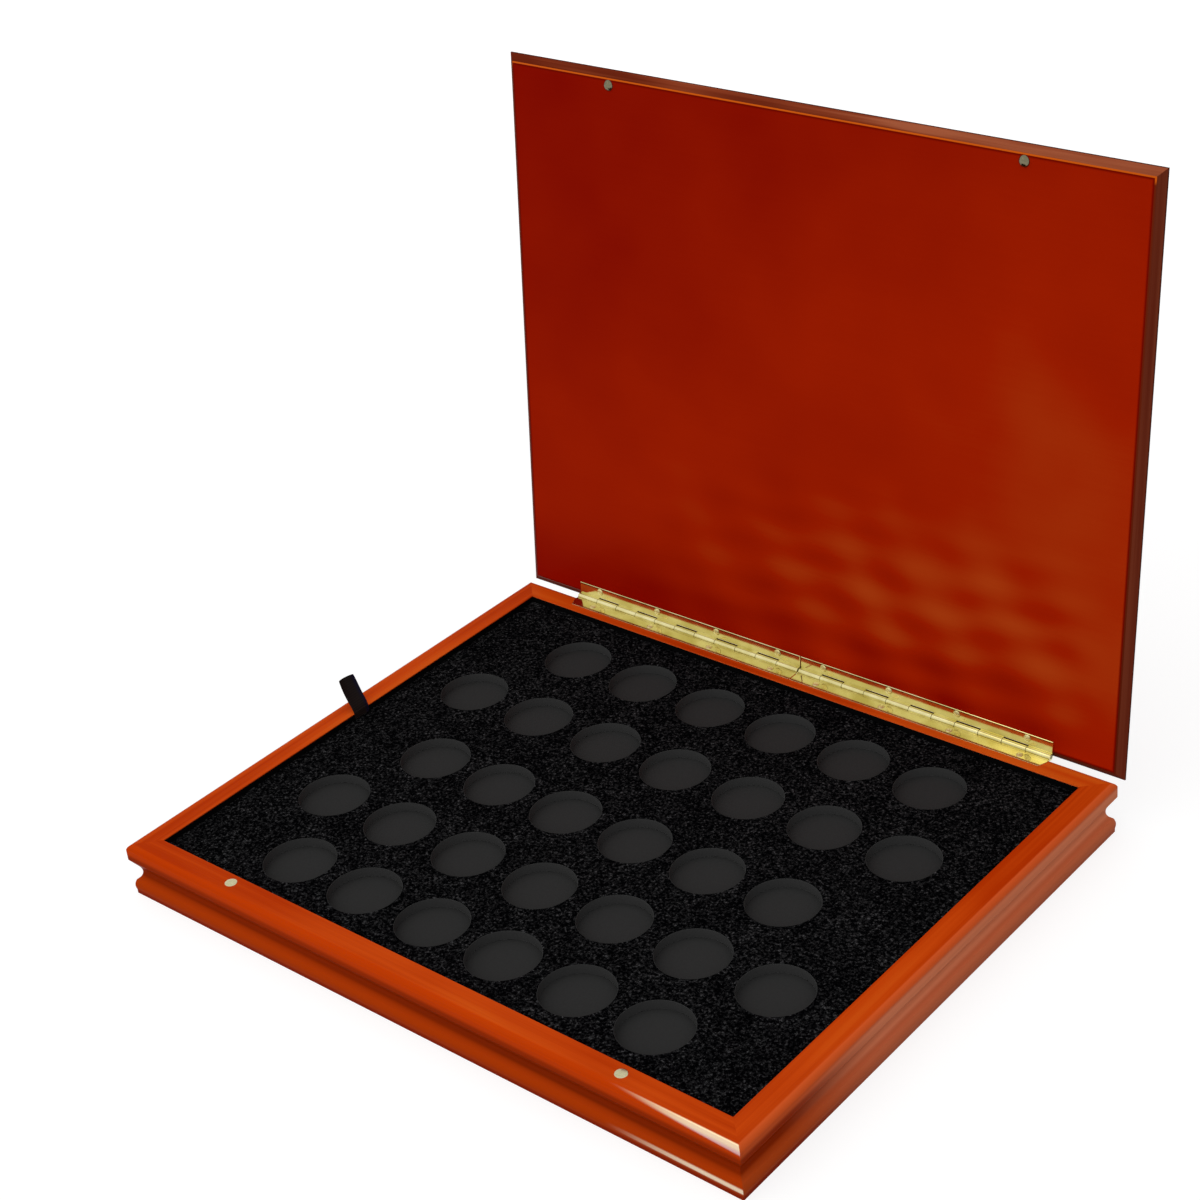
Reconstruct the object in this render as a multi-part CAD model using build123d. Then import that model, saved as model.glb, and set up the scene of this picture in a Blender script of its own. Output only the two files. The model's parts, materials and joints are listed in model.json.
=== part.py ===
from build123d import *
from math import atan, cos, degrees, radians, sin
import os

# Coin display case: a moulded wooden frame with a lift-out tray of round wells,
# and a flat lid on two lengths of piano hinge, drawn with the lid open on its stop.
# Millimetres. X runs left to right, Y front to back, Z up.
# The origin is the middle of the underside of the base.

# ---- frame of the base ----
opening_width = 340.0        # clear opening inside the rails, left to right
opening_depth = 265.0        # clear opening inside the rails, front to back
rail_width = 13.0            # a rail at its widest, seen from above
base_height = 28.5

# ---- moulding of a rail: insets from the outline, drops from the top face ----
top_round_width = 3.6
top_round_drop = 2.8
band_drop = 8.6              # lower edge of the upright band
slope_inset = 3.1            # end of the slope under the band
slope_drop = 13.2
cove_radius = 5.0
cove_sweep = 62.0            # how far the cove turns below its deepest line, degrees
bead_inset = 0.4             # middle of the bead
bead_drop = 23.4
bead_foot_inset = 1.0        # under the bead, and at the foot
bead_foot_drop = 26.2

# ---- floor of the base ----
felt_thickness = 1.0
floor_thickness = 4.0
rebate_width = 4.0           # how far the floor reaches under each rail

# ---- loose tongues inside the mitred corners ----
tongue_length = 8.0          # along the mitre
tongue_width = 9.0           # across the mitre
tongue_thickness = 2.0
tongue_drop = 6.0            # middle of a tongue below the top face
tongue_inset = 8.6           # middle of a tongue from both outlines

# ---- tray: flocked board with wells, on a backing board, on ledges ----
tray_drop = 3.0              # top of the tray below the top of the rails
tray_clearance = 0.5         # gap round the tray
well_depth = 5.5             # thickness of the flocked board
backing_thickness = 2.0
well_diameter = 35.0
ledge_width = 6.0

# Rows of wells from front to back. The first and last rows lie a margin from the opening,
# the others are spread evenly between them and then shifted to the back.
row_well_counts = [6, 7, 6, 7, 6]
row_left_margins = [64.0, 39.5, 60.0, 35.0, 61.0]     # middle of a row's first well
row_right_margins = [62.0, 34.0, 67.0, 40.0, 60.5]    # middle of its last well
row_shifts = [0.0, -4.5, -5.5, -1.0, 0.0]
front_row_margin = 27.5
rear_row_margin = 33.5

# ---- ribbon tab that lifts the tray ----
ribbon_width = 10.0
ribbon_thickness = 0.4
ribbon_under_tray = 28.0     # glued under the backing board
ribbon_rise = 16.2           # free end above the rail
ribbon_lean = 7.7            # free end out over the rail
ribbon_bend_radius = 0.6
ribbon_slack = 0.1           # room on each face of the ribbon
ribbon_side_room = 0.5       # room beside the ribbon in its notches

# ---- lid, sizes given as it lies closed ----
open_angle = 95.5
lid_gap = 2.1                # inner face of the closed lid above the rails
lid_thickness = 11.0
lid_side_overhang = 0.8
lid_rear_overhang = 2.4
lid_front_setback = 0.8
veneer_thickness = 0.6
edge_strip_width = 10.0
bevel_width = 4.3            # bevel round the inner face
bevel_height = 3.4
nose_height = 1.0            # upright edge above the bevel
nose_step = 0.8              # small slope from the edge into the cove
raised_inset = 6.0           # raised outer face, from the lid's edge
raised_step = 0.4            # upright step under the outer veneer

# ---- catch: magnets in the front rail, domed steel studs in the lid ----
catch_spacing = 234.0
catch_inset = 7.8            # from the front outline of the base
magnet_diameter = 6.0
magnet_thickness = 2.0
stud_diameter = 5.5
stud_clearance = 0.3         # closed stud above its magnet
stud_shank_diameter = 2.4
stud_shank_length = 6.0

# ---- two lengths of piano hinge ----
hinge_length = 147.0
hinge_gap = 0.6              # between the two lengths
hinge_setback = 0.4          # axis behind the outline of the base
barrel_radius = 1.7
pin_radius = 0.8
running_clearance = 0.05     # between pin and knuckle
knuckle_count = 11
knuckle_gap = 0.2
leaf_reach = 9.0             # front edge of a leaf from the hinge axis
leaf_thickness = 0.9
leaf_proud = 0.3             # lower leaf above the rail it is let into
leaf_relief = 0.35           # leaf clear of the other leaf's knuckles
leaf_corner_along = 2.0      # clipped outer corner of the lower leaf
leaf_corner_across = 4.8
screws_per_leaf = 4
screw_end_distance = 14.0
screw_head_diameter = 3.4
screw_head_clearance = 0.05
screw_dome = 0.35
screw_shank_diameter = 1.8
screw_shank_length = 7.0
screw_line = 5.6             # screws from the hinge axis

# ---- worked out from the sizes above ----
base_width = opening_width + 2 * rail_width
base_depth = opening_depth + 2 * rail_width
rebate_height = felt_thickness + floor_thickness
tray_top = base_height - tray_drop
backing_top = tray_top - well_depth
tray_underside = backing_top - backing_thickness
tray_width = opening_width - 2 * tray_clearance
tray_depth = opening_depth - 2 * tray_clearance
lid_face = base_height + lid_gap
lid_width = base_width + 2 * lid_side_overhang
lid_front = -base_depth / 2 + lid_front_setback
lid_rear = base_depth / 2 + lid_rear_overhang
lid_depth = lid_rear - lid_front
lid_middle = (lid_rear + lid_front) / 2
hinge_y = base_depth / 2 + hinge_setback
hinge_z = lid_face - barrel_radius
hinge_line = Axis((0, hinge_y, hinge_z), (1, 0, 0))
catch_y = -base_depth / 2 + catch_inset


def save(node, shape):
    export_step(shape, f"parts/{node}.step")


def group(solids):
    return Compound(children=list(solids))


def block(size_x, size_y, low_z, high_z, x=0.0, y=0.0):
    """A box by its plan size, its middle in plan and its two heights."""
    return Pos(x, y, (low_z + high_z) / 2) * Box(size_x, size_y, high_z - low_z)


def opened(shape):
    """Swings a closed lid piece up to the open stop."""
    return shape.rotate(hinge_line, -open_angle)


def mitred_strip(profile, length, offset, width):
    """Front strip of a frame: a profile of inset and height, with mitred ends."""
    bar = extrude(profile, amount=length / 2, both=True)
    bar = Pos(0, -offset, 0) * bar
    half = length / 2
    plan = Polyline(
        (-half, -offset),
        (half, -offset),
        (half - width, width - offset),
        (-half + width, width - offset),
        close=True,
    )
    top = bar.bounding_box().max.Z
    prism = extrude(make_face(plan), amount=2 * top)
    return bar & prism


def frame_strips(profile, frame_width, frame_depth, width):
    """The four mitred strips of a rectangular frame, by the side they lie on."""
    along = mitred_strip(profile, frame_width, frame_depth / 2, width)
    across = mitred_strip(profile, frame_depth, frame_width / 2, width)
    return {
        "front": along,
        "rear": along.rotate(Axis.Z, 180),
        "right": across.rotate(Axis.Z, 90),
        "left": across.rotate(Axis.Z, -90),
    }


def rail_profile():
    """Section of a rail: rounded top edge, band, slope, cove, bead and foot."""
    top = base_height
    slope_angle = atan(slope_inset / (slope_drop - band_drop))
    cove_x = slope_inset - cove_radius * cos(slope_angle)
    cove_z = top - slope_drop - cove_radius * sin(slope_angle)
    sweep = radians(cove_sweep)
    cove_low = (cove_x + cove_radius * cos(sweep), cove_z - cove_radius * sin(sweep))
    outline = [
        Line((rail_width, rebate_height), (rail_width, top)),
        Line((rail_width, top), (top_round_width, top)),
        TangentArc((top_round_width, top), (0, top - top_round_drop), tangent=(-1, 0)),
        Line((0, top - top_round_drop), (0, top - band_drop)),
        Line((0, top - band_drop), (slope_inset, top - slope_drop)),
        ThreePointArc(
            (slope_inset, top - slope_drop),
            (cove_x + cove_radius, cove_z),
            cove_low,
        ),
        ThreePointArc(
            cove_low,
            (bead_inset, top - bead_drop),
            (bead_foot_inset, top - bead_foot_drop),
        ),
        Line((bead_foot_inset, top - bead_foot_drop), (bead_foot_inset, 0)),
        Line((bead_foot_inset, 0), (rail_width - rebate_width, 0)),
        Line((rail_width - rebate_width, 0), (rail_width - rebate_width, rebate_height)),
        Line((rail_width - rebate_width, rebate_height), (rail_width, rebate_height)),
    ]
    return Plane.YZ * make_face(Wire([piece.edge() for piece in outline]))


def corner_tongues():
    """A loose tongue across each mitre, hidden inside the rails."""
    tongues = []
    for side_x in (-1, 1):
        for side_y in (-1, 1):
            x = side_x * (base_width / 2 - tongue_inset)
            y = side_y * (base_depth / 2 - tongue_inset)
            turn = 45 * side_x * side_y
            tongue = Box(tongue_length, tongue_width, tongue_thickness)
            tongues.append(Pos(x, y, base_height - tongue_drop) * Rot(0, 0, turn) * tongue)
    return tongues


def disc_at(x, y, diameter, low_z, high_z):
    return Pos(x, y, (low_z + high_z) / 2) * Cylinder(diameter / 2, high_z - low_z)


def catch_places():
    return [(side * catch_spacing / 2, catch_y) for side in (-1, 1)]


def magnets():
    return [disc_at(x, y, magnet_diameter, base_height - magnet_thickness, base_height)
            for x, y in catch_places()]


def domed_fastener(head_diameter, head_height, dome, shank_diameter, shank_length):
    """Head above Z = 0 with a spherical dome on top, shank below."""
    head = head_diameter / 2
    shank = shank_diameter / 2
    side = head_height - dome
    swell = (head ** 2 + dome ** 2) / (2 * dome)
    half_x = head * 0.55
    half_z = side + (swell ** 2 - half_x ** 2) ** 0.5 - (swell - dome)
    section = [
        Line((0, -shank_length), (shank, -shank_length)),
        Line((shank, -shank_length), (shank, 0)),
        Line((shank, 0), (head, 0)),
        ThreePointArc((head, side), (half_x, half_z), (0, head_height)),
        Line((0, head_height), (0, -shank_length)),
    ]
    if side > 0:
        section.insert(3, Line((head, 0), (head, side)))
    face = Plane.XZ * make_face(Wire([piece.edge() for piece in section]))
    return revolve(face, Axis.Z)


def studs():
    """Domed studs on the inner face of the closed lid, heads down."""
    height = lid_gap - stud_clearance
    stud = domed_fastener(stud_diameter, height, height, stud_shank_diameter, stud_shank_length)
    return [Pos(x, y, lid_face) * Rot(180, 0, 0) * stud for x, y in catch_places()]


def stud_holes():
    return [disc_at(x, y, stud_shank_diameter, lid_face, lid_face + stud_shank_length)
            for x, y in catch_places()]


def hinge_starts():
    """Left end of each length of hinge."""
    return [-hinge_gap / 2 - hinge_length, hinge_gap / 2]


def screw_places():
    """Screws along both lengths of hinge."""
    pitch = (hinge_length - 2 * screw_end_distance) / (screws_per_leaf - 1)
    return [start + screw_end_distance + index * pitch
            for start in hinge_starts() for index in range(screws_per_leaf)]


def knuckles(start, first):
    """Every other knuckle of one length, bored for the pin."""
    pitch = hinge_length / knuckle_count
    rings = []
    for index in range(first, knuckle_count, 2):
        middle = start + (index + 0.5) * pitch
        ring = Cylinder(barrel_radius, pitch - knuckle_gap)
        ring -= Cylinder(pin_radius + running_clearance, pitch)
        rings.append((middle, Pos(middle, hinge_y, hinge_z) * Rot(0, 90, 0) * ring))
    return rings


def leaf_plate(start, low_z, high_z):
    """Flat of a leaf, short of the barrel, between two heights."""
    near = barrel_radius + leaf_relief
    width = leaf_reach - near
    return block(hinge_length, width, low_z, high_z,
                 start + hinge_length / 2, hinge_y - near - width / 2)


def joined_leaf(plate, rings, low_z, high_z, tab_end):
    """Joins a plate to its knuckles with a tab at each knuckle."""
    near = barrel_radius + leaf_relief
    tab_width = near - tab_end
    leaf = plate
    for middle, ring in rings:
        tab = block(hinge_length / knuckle_count - knuckle_gap, tab_width, low_z, high_z,
                    middle, hinge_y - near + tab_width / 2)
        bore = Pos(middle, hinge_y, hinge_z) * Rot(0, 90, 0) * Cylinder(
            pin_radius + running_clearance, hinge_length / knuckle_count)
        leaf = leaf + (tab - bore) + ring
    return leaf


def screw_holes(low_z, high_z):
    y = hinge_y - screw_line
    diameter = screw_head_diameter + 2 * screw_head_clearance
    return [disc_at(x, y, diameter, low_z, high_z) for x in screw_places()]


def base_leaf_plate(start):
    """Flat of a lower leaf with its clipped outer corner."""
    plate = leaf_plate(start, base_height + leaf_proud - leaf_thickness, base_height + leaf_proud)
    outer = start if start < 0 else start + hinge_length
    inward = 1 if start < 0 else -1
    front = hinge_y - leaf_reach
    corner = Polyline(
        (outer, front),
        (outer + inward * leaf_corner_along, front),
        (outer, front + leaf_corner_across),
        close=True,
    )
    clip = extrude(make_face(corner), amount=base_height + 2 * leaf_thickness)
    return plate - clip


def leaf_mortise(start):
    """Cut in the rear rail for a lower leaf, open to the back under the barrel."""
    low = base_height + leaf_proud - leaf_thickness
    width = barrel_radius + leaf_relief
    under_barrel = block(hinge_length, width, low, base_height, start + hinge_length / 2,
                         hinge_y - width / 2)
    return [base_leaf_plate(start), under_barrel]


def base_leaf(start):
    high = base_height + leaf_proud
    low = high - leaf_thickness
    leaf = joined_leaf(base_leaf_plate(start), knuckles(start, 1), low, high, 0.7 * barrel_radius)
    return leaf - screw_holes(low, high)


def lid_leaf(start):
    """Upper leaf on the inner face of the closed lid."""
    low = lid_face - leaf_thickness
    leaf = joined_leaf(leaf_plate(start, low, lid_face), knuckles(start, 0), low, lid_face, 0.0)
    return leaf - screw_holes(low, lid_face)


def hinge_pin(start):
    return Pos(start + hinge_length / 2, hinge_y, hinge_z) * Rot(0, 90, 0) * Cylinder(
        pin_radius, hinge_length)


def leaf_screws(seat_z, dome_up):
    """Screws of both leaves on one side, their heads sitting on the wood."""
    head_height = leaf_thickness + screw_dome
    screw = domed_fastener(screw_head_diameter, head_height, screw_dome,
                           screw_shank_diameter, screw_shank_length)
    turn = 0 if dome_up else 180
    return [Pos(x, hinge_y - screw_line, seat_z) * Rot(turn, 0, 0) * screw
            for x in screw_places()]


def shank_holes(low_z, high_z):
    return [disc_at(x, hinge_y - screw_line, screw_shank_diameter, low_z, high_z)
            for x in screw_places()]


def ribbon_notch(low_z, high_z, depth):
    """Room for the ribbon in the left edge of the tray or ledge."""
    return block(2 * depth, ribbon_width + 2 * ribbon_side_room, low_z, high_z,
                 -opening_width / 2)


def ribbon():
    """Flat ribbon: glued under the tray, up the gap at its left edge and out over the rail."""
    half = ribbon_thickness / 2 + ribbon_slack
    edge = -opening_width / 2 + half
    under = tray_underside - half
    path = FilletPolyline(
        (edge + ribbon_under_tray, 0, under),
        (edge, 0, under),
        (edge, 0, base_height + 2 * ribbon_thickness),
        (-opening_width / 2 - ribbon_lean, 0, base_height + ribbon_rise),
        radius=ribbon_bend_radius,
    )
    start = Plane(origin=path @ 0, x_dir=(0, 1, 0), z_dir=path % 0)
    return sweep(start * Rectangle(ribbon_width, ribbon_thickness), path=path)


def well_places():
    """Middle of every well in plan, row by row."""
    places = []
    rows = zip(row_well_counts, row_left_margins, row_right_margins, row_shifts)
    row_pitch = (opening_depth - front_row_margin - rear_row_margin) / (len(row_well_counts) - 1)
    for row, (count, left_margin, right_margin, shift) in enumerate(rows):
        y = -opening_depth / 2 + front_row_margin + row * row_pitch + shift
        first = -opening_width / 2 + left_margin
        pitch = (opening_width - left_margin - right_margin) / (count - 1)
        places += [(first + index * pitch, y) for index in range(count)]
    return places


def tray_board():
    board = block(tray_width, tray_depth, backing_top, tray_top)
    wells = [disc_at(x, y, well_diameter, backing_top, tray_top) for x, y in well_places()]
    notch = ribbon_notch(backing_top, tray_top, tray_clearance + ribbon_thickness)
    return board - wells - notch


def tray_backing():
    board = block(tray_width, tray_depth, tray_underside, backing_top)
    return board - ribbon_notch(tray_underside, backing_top, tray_clearance + ribbon_thickness)


def tray_ledges():
    """Strips glued inside the rails that carry the tray."""
    low = rebate_height
    high = tray_underside
    side_length = opening_depth - 2 * ledge_width
    offset_x = (opening_width - ledge_width) / 2
    offset_y = (opening_depth - ledge_width) / 2
    left = block(ledge_width, side_length, low, high, -offset_x)
    left -= ribbon_notch(high - ribbon_thickness - 2 * ribbon_slack, high, ledge_width)
    return {
        "front": block(opening_width, ledge_width, low, high, 0, -offset_y),
        "rear": block(opening_width, ledge_width, low, high, 0, offset_y),
        "left": left,
        "right": block(ledge_width, side_length, low, high, offset_x),
    }


def lid_edge_profile():
    """Section of a lid edge strip, as inset and height above the inner face."""
    bevel_start = bevel_width * (1 - veneer_thickness / bevel_height)
    nose_top = bevel_height + nose_height
    cove_start = nose_top + 0.75 * nose_step
    cove_end = lid_thickness - veneer_thickness - raised_step
    reach = raised_inset - nose_step
    rise = cove_end - cove_start
    hollow = (nose_step + reach * sin(radians(45)), cove_end - rise * cos(radians(45)))
    top = lid_thickness - veneer_thickness
    outline = [
        Line((edge_strip_width, veneer_thickness), (bevel_start, veneer_thickness)),
        Line((bevel_start, veneer_thickness), (0, bevel_height)),
        Line((0, bevel_height), (0, nose_top)),
        Line((0, nose_top), (nose_step, cove_start)),
        ThreePointArc((nose_step, cove_start), hollow, (raised_inset, cove_end)),
        Line((raised_inset, cove_end), (raised_inset, top)),
        Line((raised_inset, top), (edge_strip_width, top)),
        Line((edge_strip_width, top), (edge_strip_width, veneer_thickness)),
    ]
    return Plane.YZ * make_face(Wire([piece.edge() for piece in outline]))


def lid_core():
    return block(lid_width - 2 * edge_strip_width, lid_depth - 2 * edge_strip_width,
                 veneer_thickness, lid_thickness - veneer_thickness)


def inner_veneer():
    """Veneer of the inner face, its edge cut to the bevel."""
    sheet = Rectangle(lid_width - 2 * bevel_width, lid_depth - 2 * bevel_width)
    slant = degrees(atan(bevel_width / bevel_height))
    return extrude(sheet, amount=veneer_thickness, taper=-slant)


def outer_veneer():
    return block(lid_width - 2 * raised_inset, lid_depth - 2 * raised_inset,
                 lid_thickness - veneer_thickness, lid_thickness)


def in_place(shape):
    """Moves a lid piece from its own drawing to its closed place."""
    return Pos(0, lid_middle, lid_face) * shape


def build():
    os.makedirs("parts", exist_ok=True)

    # base frame and floor
    tongues = corner_tongues()
    mortises = [cut for start in hinge_starts() for cut in leaf_mortise(start)]
    base_shanks = shank_holes(base_height + leaf_proud - leaf_thickness - screw_shank_length,
                              base_height + leaf_proud - leaf_thickness)
    for side, rail in frame_strips(rail_profile(), base_width, base_depth, rail_width).items():
        rail = rail - tongues
        if side == "front":
            rail = rail - magnets()
        if side == "rear":
            rail = rail - mortises - base_shanks
        save(f"rail_{side}", rail)
    save("mitre_tongues", group(tongues))
    floor_width = opening_width + 2 * rebate_width
    floor_depth = opening_depth + 2 * rebate_width
    save("base_floor", block(floor_width, floor_depth, felt_thickness, rebate_height))
    save("underside_felt", block(floor_width, floor_depth, 0, felt_thickness))
    save("catch_magnets", group(magnets()))

    # tray
    for side, ledge in tray_ledges().items():
        save(f"tray_ledge_{side}", ledge)
    save("tray_board", tray_board())
    save("tray_backing", tray_backing())
    save("ribbon_tab", ribbon())

    # hinges
    for name, start in zip(("left", "right"), hinge_starts()):
        save(f"hinge_{name}_base_leaf", base_leaf(start))
        save(f"hinge_{name}_lid_leaf", opened(lid_leaf(start)))
        save(f"hinge_{name}_pin", hinge_pin(start))
    save("hinge_base_screws", group(leaf_screws(base_height + leaf_proud - leaf_thickness, True)))
    save("hinge_lid_screws", opened(group(leaf_screws(lid_face, False))))

    # lid
    holes = stud_holes() + shank_holes(lid_face, lid_face + screw_shank_length)
    strips = frame_strips(lid_edge_profile(), lid_width, lid_depth, edge_strip_width)
    for side, strip in strips.items():
        save(f"lid_edge_{side}", opened(in_place(strip) - holes))
    save("lid_core", opened(in_place(lid_core()) - holes))
    save("lid_inner_veneer", opened(in_place(inner_veneer()) - holes))
    save("lid_outer_veneer", opened(in_place(outer_veneer())))
    save("lid_studs", opened(group(studs())))


build()
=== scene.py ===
import json
from math import atan, atan2, cos, pi, radians, sin, sqrt, tan

import bmesh
import bpy
from mathutils import Matrix, Vector
from mathutils.geometry import delaunay_2d_cdt


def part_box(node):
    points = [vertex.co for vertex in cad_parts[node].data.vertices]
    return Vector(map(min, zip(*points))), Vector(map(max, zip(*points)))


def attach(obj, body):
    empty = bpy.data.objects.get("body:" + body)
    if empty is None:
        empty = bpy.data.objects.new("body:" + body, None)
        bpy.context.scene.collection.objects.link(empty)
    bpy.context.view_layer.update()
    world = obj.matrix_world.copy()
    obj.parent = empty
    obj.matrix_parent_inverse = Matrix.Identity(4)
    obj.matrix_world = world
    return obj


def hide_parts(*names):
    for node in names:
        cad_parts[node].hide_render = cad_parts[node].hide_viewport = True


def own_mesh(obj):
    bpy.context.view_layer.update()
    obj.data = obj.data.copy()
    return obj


# Coin display case: lacquered base and lid, flocked tray with wells, piano hinge.
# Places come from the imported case. Sizes in the dictionaries are millimetres.

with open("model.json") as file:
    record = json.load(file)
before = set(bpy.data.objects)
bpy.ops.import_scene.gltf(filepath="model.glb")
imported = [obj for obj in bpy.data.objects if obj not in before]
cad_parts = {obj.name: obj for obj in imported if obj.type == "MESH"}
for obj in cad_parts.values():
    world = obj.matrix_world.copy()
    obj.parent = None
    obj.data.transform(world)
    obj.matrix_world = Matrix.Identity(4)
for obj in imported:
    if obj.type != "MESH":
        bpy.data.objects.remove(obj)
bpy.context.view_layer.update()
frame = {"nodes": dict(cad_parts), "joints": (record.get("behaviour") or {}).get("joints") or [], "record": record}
nodes = frame["nodes"]
record = frame["record"]
mm = 0.001
print("case loaded with", len(nodes), "nodes")


class Signal:
    # a shader socket that can be added, subtracted and multiplied
    def __init__(self, finish, socket):
        self.finish = finish
        self.socket = socket

    def sum(self, operation, first, second):
        return self.finish.add("ShaderNodeMath", {"operation": operation}, {0: first, 1: second})

    def __add__(self, other):
        return self.sum("ADD", self, other)

    def __radd__(self, other):
        return self.sum("ADD", other, self)

    def __sub__(self, other):
        return self.sum("SUBTRACT", self, other)

    def __rsub__(self, other):
        return self.sum("SUBTRACT", other, self)

    def __mul__(self, other):
        return self.sum("MULTIPLY", self, other)

    def __rmul__(self, other):
        return self.sum("MULTIPLY", other, self)


class Finish:
    # the nodes of one material, or of the world where a tree is given
    def __init__(self, name, tree=None):
        self.material = None
        if tree is None:
            self.material = bpy.data.materials.new(name)
            self.material.use_nodes = True
            tree = self.material.node_tree
        self.tree = tree
        self.tree.nodes.clear()

    def add(self, kind, settings, sockets, output=0):
        node = self.tree.nodes.new(kind)
        for key, value in settings.items():
            if key == "stops":
                self.setStops(node.color_ramp, value)
            else:
                setattr(node, key, value)
        for key, value in sockets.items():
            if isinstance(value, Signal):
                self.tree.links.new(value.socket, node.inputs[key])
            else:
                node.inputs[key].default_value = value
        if node.outputs:
            return Signal(self, node.outputs[output])

    def setStops(self, ramp, stops):
        while len(ramp.elements) < len(stops):
            ramp.elements.new(1)
        for element, (position, colour) in zip(ramp.elements, stops):
            element.position = position
            element.color = colour

    def grain(self, stretch, turn=0):
        # distance along a strip, inset from its edge, and height; turn is in degrees
        own = self.add("ShaderNodeAttribute", {"attribute_name": "grain"}, {}, "Vector")
        return self.add("ShaderNodeMapping", {}, {"Vector": own, "Scale": stretch,
                                                  "Rotation": (0, 0, radians(turn))})

    def space(self, stretch=(1, 1, 1)):
        own = self.add("ShaderNodeTexCoord", {}, {}, "Object")
        return self.add("ShaderNodeMapping", {}, {"Vector": own, "Scale": stretch})

    def noise(self, vector, scale, detail=3, roughness=0.55):
        sockets = {"Vector": vector, "Scale": scale, "Detail": detail, "Roughness": roughness}
        return self.add("ShaderNodeTexNoise", {}, sockets)

    def axis(self, vector, letter):
        return self.add("ShaderNodeSeparateXYZ", {}, {"Vector": vector}, letter)

    def bands(self, vector, letter, scale, distortion):
        sockets = {"Vector": vector, "Scale": scale, "Distortion": distortion, "Detail": 1}
        return self.add("ShaderNodeTexWave", {"bands_direction": letter}, sockets, "Fac")

    def spread(self, value, low, high, toLow=0, toHigh=1):
        sockets = {"Value": value, "From Min": low, "From Max": high,
                   "To Min": toLow, "To Max": toHigh}
        return self.add("ShaderNodeMapRange", {"interpolation_type": "SMOOTHSTEP"}, sockets)

    def ramp(self, value, stops):
        return self.add("ShaderNodeValToRGB", {"stops": stops}, {"Fac": value})

    def mix(self, factor, first, second, kind="MIX"):
        settings = {"data_type": "RGBA", "blend_type": kind}
        return self.add("ShaderNodeMix", settings, {0: factor, 6: first, 7: second}, 2)

    def bump(self, height, distance, strength=1):
        sockets = {"Height": height, "Distance": distance, "Strength": strength}
        return self.add("ShaderNodeBump", {}, sockets)

    def surface(self, sockets):
        shader = self.add("ShaderNodeBsdfPrincipled", {}, sockets)
        self.add("ShaderNodeOutputMaterial", {}, {"Surface": shader})
        return self.material


def paint(red, green, blue):
    # a screen colour from 0 to 255, as linear light
    def linear(value):
        share = value / 255
        return share / 12.92 if share <= 0.04045 else ((share + 0.055) / 1.055) ** 2.4
    return (linear(red), linear(green), linear(blue), 1)


cherry = {
    "dark": paint(176, 50, 2),
    "middle": paint(197, 69, 11),
    "light": paint(208, 88, 20),
    "cloudGain": 0.0,            # paler toward the right end of the front strip
    # from here on heights and insets are millimetres, and lengths along are metres
    "side": (paint(186, 56, 1), paint(214, 90, 40)),    # painted shade on the front rail's sides, painted light on the other rails' sides
    "sideTop": (28.4, 28.1),
    "band": paint(203, 64, 5),   # upright band of the front rail
    "bandTop": (26.7, 25.4),
    "stain": (paint(131, 37, 0), paint(161, 46, 1)),    # stain and painted shade, in the hollow
    "stainTop": (24.2, 21.4),
    "stainFoot": (7.8, 10.8),
    "stainClear": (12.4, 17.5),  # thinner toward the top of the hollow
    # painted shade on the bead
    "bead": paint(158, 54, 4),
    "beadTop": (10.6, 8.8),
    "faded": paint(233, 138, 98),                       # painted sheen: paler sides past the front corner
    "fadedAlong": (0.88, 0.96),
    "fadedTop": (26.5, 23.5),
    "farSide": (2.5, 2.6),       # painted shade: the left rail, dark at its edge
    # painted shade on the foot, by the floor
    "foot": paint(146, 36, 0),
    "footTop": (3.4, 1.4),
    "streaks": (4, 260, 260),
    "clouds": (7, 24, 24),
    "shineTop": (28.25, 27.95),
    "shineFoot": (24.7, 26.0),
    "lip": ((6.5, 5.4), (3.3, 4.4)),                    # painted highlight and glossier coat along a line on the bead
    "gloss": (0.8, paint(242, 200, 116)),               # painted highlight: how much paler, and its colour
    "glossFoot": (25.8, 27.2),
    "glossLip": (8.0, 7.0),
    "corner": ((0.11, 0.165), (0.2, 0.3)),              # end of the front rail with the glossier coat and painted highlight
    "taper": (0.172, 0.05),      # the glossier coat and painted highlight narrow to the left of this
    "shineInset": (5.0, 4.0),
    "sideShare": 0.85,
    "beadShare": 0.6,
    "roughness": (0.28, 0.4),
    "specular": 0.006,
    "tint": (1, 0.4, 0.08, 1),
    "coat": (0.003, 0.95),       # all over, and on the shinier end
    "coatIor": 4.0,
    "coatRoughness": 0.12,
}
edging = cherry | {
    "dark": paint(104, 34, 14),
    "middle": paint(132, 56, 30),
    "light": paint(160, 86, 56),
    "cloudGain": 0.24,
    "sideTop": (29.0, 28.0),
    "bandTop": (1.0, 0.0),
    # stain and painted shade in the moulding's hollow
    "stain": (paint(58, 16, 8), paint(84, 28, 14)),
    "stainTop": (33.7, 34.1),
    "stainFoot": (30.0, 31.0),
    "stainClear": (35.0, 38.0),
    "beadTop": (1.0, 0.0),
    # painted shade on the lid moulding's side strips
    "faded": paint(98, 34, 18),
    "fadedAlong": (0.7, 0.75),
    "fadedTop": (34.4, 34.0),
    "farSide": (5.0, 6.0),
    "footTop": (1.0, 0.0),
    "streaks": (5, 420, 420),
    "clouds": (10, 60, 60),
    "shineTop": (1.0, 0.0),
    "lip": ((2.0, 1.0), (0.0, 1.0)),
    "tint": (1, 0.5, 0.3, 1),
}


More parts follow.
